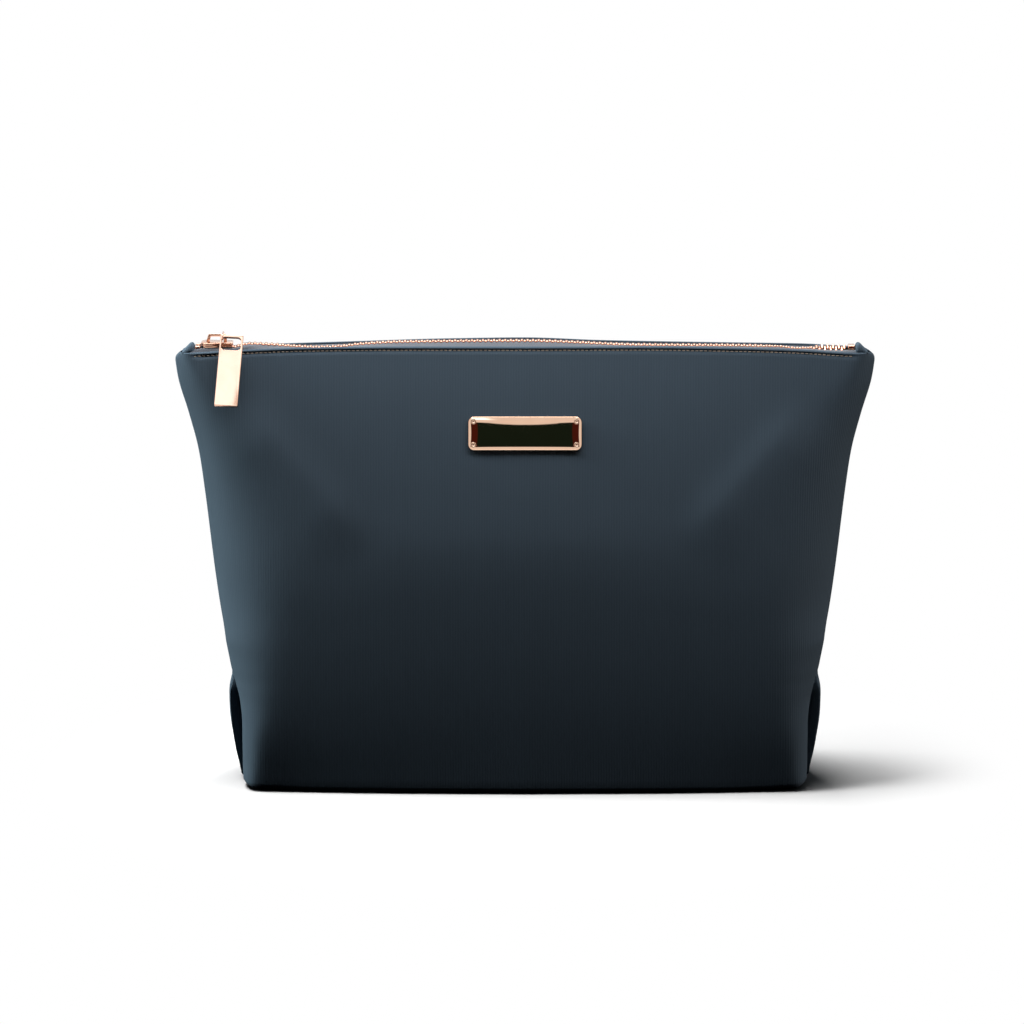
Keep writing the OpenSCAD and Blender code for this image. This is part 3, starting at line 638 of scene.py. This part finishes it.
def bevelled(name, solids, material, width, place=None):
    # Prisms, each an outline and two heights, with rounded edges
    made = bmesh.new()
    for outline, low, high in solids:
        ring = [made.verts.new((x * mm, y * mm, low * mm)) for x, y in outline]
        cap = made.faces.new(ring)
        grown = bmesh.ops.extrude_face_region(made, geom=[cap])
        up = [v for v in grown["geom"] if isinstance(v, bmesh.types.BMVert)]
        bmesh.ops.translate(made, verts=up, vec=(0, 0, (high - low) * mm))
    bmesh.ops.recalc_face_normals(made, faces=made.faces)
    sharp = [e for e in made.edges if e.calc_face_angle(0) > math.radians(30)]
    bmesh.ops.bevel(made, geom=sharp, offset=width * mm, segments=3, profile=0.5, affect="EDGES", clamp_overlap=True)
    mesh = bpy.data.meshes.new(name)
    made.to_mesh(mesh)
    made.free()
    if place is not None:
        mesh.transform(place)
    mesh.materials.append(material)
    mesh.shade_smooth()
    return addObject(name, mesh)


def sweep(name, path, profile, across, material, closed=False):
    # A profile (out, across) run along a flat path; across is the path plane's normal
    path, across = np.array(path, float), np.array(across, float)
    n, m = len(path), len(profile)
    ahead = np.roll(path, -1, 0) - np.roll(path, 1, 0)
    if not closed:
        ahead[0], ahead[-1] = path[1] - path[0], path[-1] - path[-2]
    ahead /= np.linalg.norm(ahead, axis=1)[:, None]
    out = np.cross(ahead, across)
    points = [p + o * a + across * b for p, o in zip(path, out) for a, b in profile]
    laps = n if closed else n - 1
    faces = [(k * m + c, k * m + (c + 1) % m, (k + 1) % n * m + (c + 1) % m, (k + 1) % n * m + c) for k in range(laps) for c in range(m)]
    if not closed:
        faces += [list(range(m)), [(n - 1) * m + c for c in range(m)]]
    return meshPiece(name, points, faces, material)


def roundProfile(d, n=16):
    return [(d / 2 * math.cos(a), d / 2 * math.sin(a)) for a in np.arange(n) * 2 * math.pi / n]


def arc(cx, cy, r, a0, a1, n):
    return [(cx + r * math.cos(a), cy + r * math.sin(a)) for a in np.radians(np.linspace(a0, a1, n))]


slider = {"x": -110.6, "length": 10.9, "shoulder": 7.6, "tail": 6.2, "plate": 0.9, "channel": 1.22, "slot": 0.5}


def makeSlider():
    s, x0, z0 = slider, slider["x"], zipper["z"]
    w, t = s["shoulder"] / 2, s["tail"] / 2
    edge = [(0, 1.9), (0.25, 2.7), (0.9, 3.5), (1.8, w), (3.2, w), (4.6, 3.5), (6.2, t), (s["length"] - 0.5, t), (s["length"], t - 0.5)]
    outline = [(x0 + a, b) for a, b in edge] + [(x0 + a, -b) for a, b in edge[::-1]]
    c, h = s["channel"], s["channel"] + s["plate"]
    solids = [(outline, z0 + c, z0 + h), (outline, z0 - h, z0 - c)]
    end, wIn, tIn = s["length"] - 0.1, w - 0.06, t - 0.06
    lipEdge = [(0.8, 3.05), (3.3, 3.08), (6.3, 2.36), (end, 2.36), (end, tIn), (6.2, tIn), (3.2, wIn), (1.6, wIn), (0.85, 3.4)]
    for sign in (1, -1):
        lip = [(x0 + a, sign * b) for a, b in lipEdge]
        solids += [(lip, z0 + s["slot"], z0 + c + 0.3), (lip, z0 - c - 0.3, z0 - s["slot"])]
    wedge = [(x0 + 0.4, 0), (x0 + 1.9, 1.2), (x0 + 5, 0), (x0 + 1.9, -1.2)]
    solids.append((wedge, z0 - c - 0.3, z0 + c + 0.3))
    return bevelled("sliderBody", solids, gold, 0.22)


bridge = {"x": -108.5, "length": 6.8, "barZ": 153.62, "corner": 0.9}


def makeBridge():
    b = bridge
    x0, x1, top, low = b["x"] + 0.45, b["x"] + b["length"] - 0.45, b["barZ"], zipper["z"] + 2.0
    path = [(x0 - 0.5, low), (x0 - 0.05, top - b["corner"])] + arc(x0 + b["corner"], top - b["corner"], b["corner"], 170, 90, 7)
    path += arc(x1 - b["corner"], top - b["corner"], b["corner"], 90, 10, 7) + [(x1, top - b["corner"]), (x1, low)]
    # A flat bar with rounded edges, wider across than it is thick
    profile = [(0.32, -0.35), (0.32, 0.35), (0.22, 0.53), (0.05, 0.6), (-0.45, 0.6), (-0.62, 0.53),
               (-0.72, 0.35), (-0.72, -0.35), (-0.62, -0.53), (-0.45, -0.6), (0.05, -0.6), (0.22, -0.53)]
    return sweep("sliderBridge", [(x, 0, z) for x, z in path], profile, (0, 1, 0), gold)


pull = {
    "x": -103.25, "linkX": -103.02, "reach": 5.7, "wire": 0.6, "ringR": 0.8, "lean": 36, "tilt": 3.4,
    "w": 7.9, "l": 26.6, "t": 1.4, "rail": 0.55, "slotTop": 0.12, "slotLow": 5.1, "slotR": 1.3, "bar": 1.3, "shift": 3.45, "edge": 0.14,
}


def makeLink():
    p = pull
    loop = arc(0, 0, p["ringR"], -90, 90, 13) + arc(-p["reach"], 0, p["ringR"], 90, 270, 13)
    path = [(p["linkX"], y, bridge["barZ"] + z) for y, z in loop]
    return sweep("pullLink", path, roundProfile(p["wire"], 14), (1, 0, 0), gold, closed=True)


def roundRect(x0, x1, y0, y1, r, n=8):
    return (arc(x1 - r, y1 - r, r, 0, 90, n) + arc(x0 + r, y1 - r, r, 90, 180, n)
            + arc(x0 + r, y0 + r, r, 180, 270, n) + arc(x1 - r, y0 + r, r, 270, 360, n))


def makeTab():
    # A flat plate with a rounded slot, cut from a filled curve so that its edges are eased
    p = pull
    top, half, edge = p["bar"] / 2, p["w"] / 2, p["edge"]
    outer = roundRect(-half, half, top - p["l"], top, 0.35, 5)
    hole = roundRect(p["rail"] - half, half - p["rail"] - 0.15, -p["slotLow"], -p["slotTop"], p["slotR"], 9)
    curve = bpy.data.curves.new("tabOutline", "CURVE")
    curve.dimensions, curve.fill_mode = "2D", "BOTH"
    curve.extrude, curve.bevel_depth, curve.bevel_resolution, curve.offset = (p["t"] / 2 - edge) * mm, edge * mm, 3, -edge * mm
    for loop in (outer, hole):
        spline = curve.splines.new("POLY")
        spline.points.add(len(loop) - 1)
        spline.use_cyclic_u = True
        for point, (x, y) in zip(spline.points, loop):
            point.co = (x * mm, y * mm, 0, 1)
    holder = addObject("tabHolder", curve)
    mesh = bpy.data.meshes.new_from_object(holder.evaluated_get(bpy.context.evaluated_depsgraph_get()))
    bpy.data.objects.remove(holder)
    lean = Matrix.Rotation(math.radians(-p["lean"]), 4, "X") @ Matrix.Rotation(math.radians(p["tilt"]), 4, "Y")
    place = Matrix.Translation(Vector((p["x"], -p["reach"], bridge["barZ"])) * mm) @ lean
    mesh.transform(place @ Matrix.Translation((p["shift"] * mm, 0, 0)) @ Matrix.Rotation(math.radians(90), 4, "X"))
    mesh.name = "pullTab"
    mesh.materials.clear()
    mesh.materials.append(gold)
    cleanMesh(mesh, 1e-6)
    mesh.set_sharp_from_angle(angle=math.radians(40))
    return addObject("pullTab", mesh)


settle(makeSlider(), "slider", "rose_gold", "slider_body")
settle(makeBridge(), "slider", "rose_gold", "slider_bridge")
settle(makeLink(), "pull_link", "rose_gold", "pull_link")
settle(makeTab(), "pull_tab", "rose_gold", "pull_tab")
print("slider and pull made")

plate = {
    "w": 38.9, "h": 11.8, "r": 2.1, "z": 121.6, "rivetIn": 1.9,
    "dome": 0.114, "sag": 0.6, "domeX": 17, "domeY": 5.2, "flatX": 16.9, "endSlope": 0.05,
}
plateSlope = math.atan((middleY(plate["z"] - 1) - middleY(plate["z"] + 1)) / 2)
plateLift = float(archAt(front, 0.0, float(plate["z"])))
plateFrame = (Matrix.Translation((0, -middleY(plate["z"]) * mm, (plate["z"] + plateLift) * mm))
              @ Matrix.Rotation(math.pi / 2 - plateSlope, 4, "X") @ Matrix.Translation((0, 0, 0.15 * mm)))


def finer(loop, parts):
    # Cut the straight sides of a rounded rectangle into parts
    n, loop = len(loop) // 4, np.array(loop)
    steps = (np.arange(1, parts) / parts)[:, None]
    cut = [(loop[k:k + n], mix(loop[k + n - 1], loop[(k + n) % (4 * n)], steps)) for k in range(0, 4 * n, n)]
    return np.concatenate([part for pair in cut for part in pair])


def makePlate():
    # A pressed plate: a rolled edge round a very slightly domed face whose ends fall away
    p, corner, parts = plate, 6, 16
    edge = [(0.5, 0), (0.06, 0.0), (0, 0.08), (0, 0.85), (0.1, 1.15), (0.34, 1.42), (0.75, 1.62), (1.2, 1.74), (1.55, 1.79), (1.85, 1.8)]
    rings = []
    for inset, height in edge:
        w, h = p["w"] / 2 - inset, p["h"] / 2 - inset
        loop = finer(roundRect(-w, w, -h, h, max(p["r"] - inset, 0.5), corner), parts)
        rings.append(np.insert(loop, 2, height, axis=1))
    points, faces = loft(rings)
    n, last, far = len(rings[-1]), len(points) - len(rings[-1]), 2 * corner + parts - 2
    inner = [mix(rings[-1][a], rings[-1][n - parts - a], j / parts) for a in range(1, far) for j in range(1, parts)]

    def at(a, j):
        # Column a from the right, row j from the top; the outermost are the last ring's own points
        if j in (0, parts):
            return last + (n - parts - a if j else a)
        return last + (n - j if a == 0 else far + j if a == far else n + (a - 1) * (parts - 1) + j - 1)

    faces = faces[:-1] + [(at(a, j), at(a + 1, j), at(a + 1, j + 1), at(a, j + 1)) for a in range(far) for j in range(parts)]
    points = np.concatenate([points, inner])
    swell = 1 + p["sag"] * np.clip(1 - (points[:, 0] / p["domeX"]) ** 2, 0, 1)
    dome = p["dome"] * swell * np.clip(1 - (points[:, 1] / p["domeY"]) ** 2, 0, 1)
    dome -= p["endSlope"] * np.clip(np.abs(points[:, 0]) - p["flatX"], 0, None)
    points[:, 2] += np.where(points[:, 2] > 1.7, dome, 0)
    piece = meshPiece("nameplate", points, faces, mirrorGold)
    piece.data.transform(plateFrame)
    return piece


def lathe(name, profile, material, n=16):
    turn = np.arange(n) * 2 * math.pi / n
    return meshPiece(name, *loft([np.stack([r * np.cos(turn), r * np.sin(turn), np.full(n, z)], 1) for r, z in profile]), material)


def makeRivets():
    p = plate
    crown = [(0.95, 1.7), (0.95, 1.86), (0.89, 1.93), (0.78, 1.95), (0.52, 1.95), (0.44, 1.87), (0.12, 1.87)]
    head = lathe("rivet", [(0.5, -1.6), (0.5, 1.7)] + crown, gold)
    ring = lathe("washer", [(0.58, -1.62), (1.5, -1.62), (1.5, -1.25), (0.58, -1.25)], gold)
    x, y = p["w"] / 2 - p["rivetIn"], p["h"] / 2 - p["rivetIn"]
    places = [(a, b, 0) for a in (-x, x) for b in (-y, y)]
    made = []
    for name, model, metal in (("nameplateRivets", head, mirrorGold), ("nameplateWashers", ring, gold)):
        piece = scatter(name, places, np.zeros((4, 3)), model, metal)
        piece.data.transform(plateFrame)
        bpy.data.objects.remove(model)
        made.append(piece)
    return made


settle(makePlate(), "pouch", "rose_gold", "nameplate")
rivets, washers = makeRivets()
settle(rivets, "pouch", "rose_gold", "nameplate_rivets")
settle(washers, "pouch", "rose_gold", "nameplate_washers")

stops = {"x": -112.65, "length": 1.8, "farX": 110.3, "farLength": 2.4, "halfH": 1.05, "inY": 1.5, "outY": 3.4, "farY": 2.2}


def makeStop(name, x, length, y0, y1, eased):
    block = [(x, y0), (x + length, y0), (x + length, y1), (x, y1)]
    return bevelled(name, [(block, zipper["z"] - stops["halfH"], zipper["z"] + stops["halfH"])], gold, eased)


for side, word in sides.items():
    y0, y1 = sorted((side * stops["inY"], side * stops["outY"]))
    settle(makeStop(word + "TopStop", stops["x"], stops["length"], y0, y1, 0.3), "pouch", "rose_gold", word + "_top_stop")
farStop = makeStop("bottomStop", stops["farX"], stops["farLength"], -stops["farY"], stops["farY"], 0.35)
settle(farStop, "pouch", "rose_gold", "bottom_stop")

endTab = {
    "outer": 117, "z": 147.9, "width": 8,
    # (distance in from the outer end, rise) over the fold
    "crest": [(0, 0.2), (0.7, 0.7), (1.4, 1.4), (2, 2.1), (2.5, 2.6), (3, 2.85), (3.5, 2.8), (3.9, 2.35), (4.15, 1.5), (4.2, 0.6)],
}


def makeEndTab(sign):
    # A doubled scrap of the outer cloth, folded up to a soft peak at the zip's end
    e = endTab
    rows = []
    for v in np.linspace(-1, 1, 13):
        full = math.sqrt(max(0, 1 - 0.9 * abs(v) ** 5)) * (1 - 0.12 * v)
        top = [(sign * (e["outer"] - x), v * e["width"] / 2, e["z"] + h * mix(0.25, 1, full)) for x, h in e["crest"]]
        rows.append(top + [(x, y, e["z"] - 0.3) for x, y, z in top[::-1]])
    points, faces = loft([np.array(r) for r in rows])
    return meshPiece("leftEndTab" if sign < 0 else "rightEndTab", points, faces, satin, points[:, :2])


settle(makeEndTab(-1), "pouch", "outer_fabric", "left_end_tab")
settle(makeEndTab(1), "pouch", "outer_fabric", "right_end_tab")
print("plate, stops and end tabs made")


# Stage, light and camera

def seenRays(tree):
    # 1 for rays that look at the room or reflect it, 0 for rays that light the pouch
    rays = addNode(tree, "ShaderNodeLightPath").outputs
    seen = rays["Is Camera Ray"]
    for kind in ("Is Glossy Ray", "Is Transmission Ray"):
        seen = addNode(tree, "ShaderNodeMath", {0: seen, 1: rays[kind]}, operation="MAXIMUM").outputs[0]
    return seen


def makeFloor():
    # Pale paper: takes the shadow near the pouch and runs out to plain white
    material, tree, shader = newMaterial("white paper sweep")
    output = next(n for n in tree.nodes if n.type == "OUTPUT_MATERIAL")
    shader.inputs["Base Color"].default_value = linear("#b4b4b4")
    shader.inputs["Roughness"].default_value = 0.9
    shader.inputs["Specular IOR Level"].default_value = 0.0
    white = addNode(tree, "ShaderNodeEmission", {"Strength": 1.0})
    place = addNode(tree, "ShaderNodeTexCoord").outputs["Object"]
    far = addNode(tree, "ShaderNodeVectorMath", {0: place}, operation="LENGTH")
    reach = {"Value": far.outputs["Value"], "From Min": 0.12, "From Max": 0.17}
    fade = addNode(tree, "ShaderNodeMapRange", reach, interpolation_type="SMOOTHSTEP")
    share = addNode(tree, "ShaderNodeMath", {0: fade.outputs[0], 1: seenRays(tree)}, operation="MULTIPLY")
    both = addNode(tree, "ShaderNodeMixShader", {0: share.outputs[0], 1: shader.outputs[0], 2: white.outputs[0]})
    tree.links.new(both.outputs[0], output.inputs["Surface"])
    mesh = bpy.data.meshes.new("floor")
    mesh.from_pydata([(-3, -3, 0), (3, -3, 0), (3, 3, 0), (-3, 3, 0)], [], [(0, 1, 2, 3)])
    mesh.materials.append(material)
    floor = addObject("floor", mesh)
    floor.visible_diffuse = False  # no bounce from below
    return floor


def makeWorld():
    world = bpy.data.worlds.new("white room")
    bpy.context.scene.world = world
    world.use_nodes = True
    tree = world.node_tree
    tree.nodes.clear()
    way = addNode(tree, "ShaderNodeSeparateXYZ", {0: addNode(tree, "ShaderNodeTexCoord").outputs["Generated"]})
    above = addNode(tree, "ShaderNodeMapRange", {"Value": way.outputs[2], "From Min": 0.0, "From Max": 0.6, "To Min": 0.0, "To Max": 0.05})
    room = addNode(tree, "ShaderNodeBackground", {0: (0.9, 0.95, 1, 1), 1: above.outputs[0]})
    white = addNode(tree, "ShaderNodeBackground", {0: (1, 1, 1, 1), 1: 1.0})
    both = addNode(tree, "ShaderNodeMixShader", {0: seenRays(tree), 1: room.outputs[0], 2: white.outputs[0]})
    addNode(tree, "ShaderNodeOutputWorld", {0: both.outputs[0]})


lamps = {
    # name: (place, aimed at, width, height, watts, colour, what it lights)
    "left": ((-0.85, 0.12, 0.45), (-0.05, 0, 0.08), 0.4, 0.5, 19, "#f2faf6", "pouch"),
    "right": ((0.85, 0.12, 0.35), (0.05, 0, 0.08), 0.4, 0.5, 5, "#fff1e6", "pouch"),
    "strip": ((-0.06, -0.06, 0.25), (-0.05, -0.015, 0.08), 0.5, 0.04, 0.66, "#fffbf8", "pouch"),
    "top": ((0, 0.35, 0.9), (0, 0, 0.1), 0.9, 0.4, 14, "#fbfdff", "pouch"),
    "floorTop": ((-0.1, 0.12, 0.9), (0, 0, 0), 0.6, 0.1, 14.5, "#ffffff", "floor"),
    "floorOver": ((-0.1, 0, 0.9), (0, 0, 0), 0.35, 0.35, 4.5, "#ffffff", "floor"),
    "floorFront": ((-0.2, -0.1, 0.35), (0, 0, 0), 0.12, 0.12, 1.7, "#ffffff", "floor"),
}


def makeLamps(floor):
    groups = {}
    for word, state in (("pouch", "EXCLUDE"), ("floor", "INCLUDE")):
        groups[word] = bpy.data.collections.new(word + " light")
        groups[word].objects.link(floor)
        groups[word].collection_objects[0].light_linking.link_state = state
    for name, (place, target, wide, tall, watts, colour, lit) in lamps.items():
        light = bpy.data.lights.new(name, "AREA")
        light.shape, light.size, light.size_y = "RECTANGLE", wide, tall
        light.energy, light.color = watts, linear(colour)[:3]
        lamp = addObject(name, light)
        lamp.location = place
        lamp.rotation_euler = (Vector(target) - Vector(place)).to_track_quat("-Z", "Y").to_euler()
        lamp.light_linking.receiver_collection = groups[lit]
        lamp.visible_camera, lamp.visible_glossy = False, name == "top"


cards = {
    # name: (four corners, colour, glow), seen only in polished metal
    "darkCard": ([(-0.075, -1.15, 0), (0.075, -1.15, 0), (0.075, -1.15, 0.635), (-0.075, -1.15, 0.635)], "#18241c", 1),
    "brownLeft": ([(-0.8, -1.15, 0), (-0.075, -1.15, 0), (-0.075, -1.15, 0.635), (-0.8, -1.15, 0.635)], "#4a2018", 1),
    "brownRight": ([(0.075, -1.15, 0), (0.8, -1.15, 0), (0.8, -1.15, 0.635), (0.075, -1.15, 0.635)], "#4a2018", 1),
    "lowCard": ([(-0.8, -1.15, 0.002), (0.8, -1.15, 0.002), (0.8, -0.75, 0.002), (-0.8, -0.75, 0.002)], "#2a140c", 1),
    "paleCard": ([(-0.5, -0.9, 0.9), (-0.02, -0.9, 0.9), (-0.02, -0.25, 1.1), (-0.5, -0.25, 1.1)], "#d8f0ff", 2.9),
}


def makeCards():
    for name, (corners, colour, glow) in cards.items():
        material, tree, shader = newMaterial(name)
        shader.inputs["Base Color"].default_value = (0, 0, 0, 1)
        shader.inputs["Specular IOR Level"].default_value = 0.0
        shader.inputs["Emission Color"].default_value = linear(colour)
        shader.inputs["Emission Strength"].default_value = glow
        mesh = bpy.data.meshes.new(name)
        mesh.from_pydata(corners, [], [(0, 1, 2, 3)])
        mesh.materials.append(material)
        card = addObject(name, mesh)
        card.visible_camera = card.visible_diffuse = card.visible_shadow = card.visible_transmission = False


shot = {"elevation": 12, "distance": 2.0, "targetZ": 0.075, "focalPx": 5808, "originX": 525, "originY": 770.8, "size": 1024}


def makeCamera():
    s = shot
    e = math.radians(s["elevation"])
    data = bpy.data.cameras.new("camera")
    data.sensor_width = 36
    data.lens = s["focalPx"] / s["size"] * data.sensor_width
    camera = addObject("camera", data)
    target = Vector((0, 0, s["targetZ"]))
    camera.location = target + Vector((0, -math.cos(e), math.sin(e))) * s["distance"]
    camera.rotation_euler = (math.pi / 2 - e, 0, 0)
    bpy.context.scene.camera = camera
    # Shift so that the middle of the base falls on its place in the picture
    drop = s["targetZ"] * math.cos(e) / (s["distance"] + s["targetZ"] * math.sin(e)) * s["focalPx"]
    half = s["size"] / 2
    data.shift_x = -(s["originX"] - half) / s["size"]
    data.shift_y = (s["originY"] - half - drop) / s["size"]


floor = makeFloor()
makeWorld()
makeLamps(floor)
makeCards()
makeCamera()
bpy.context.scene.view_settings.view_transform = "Standard"
print("stage made")
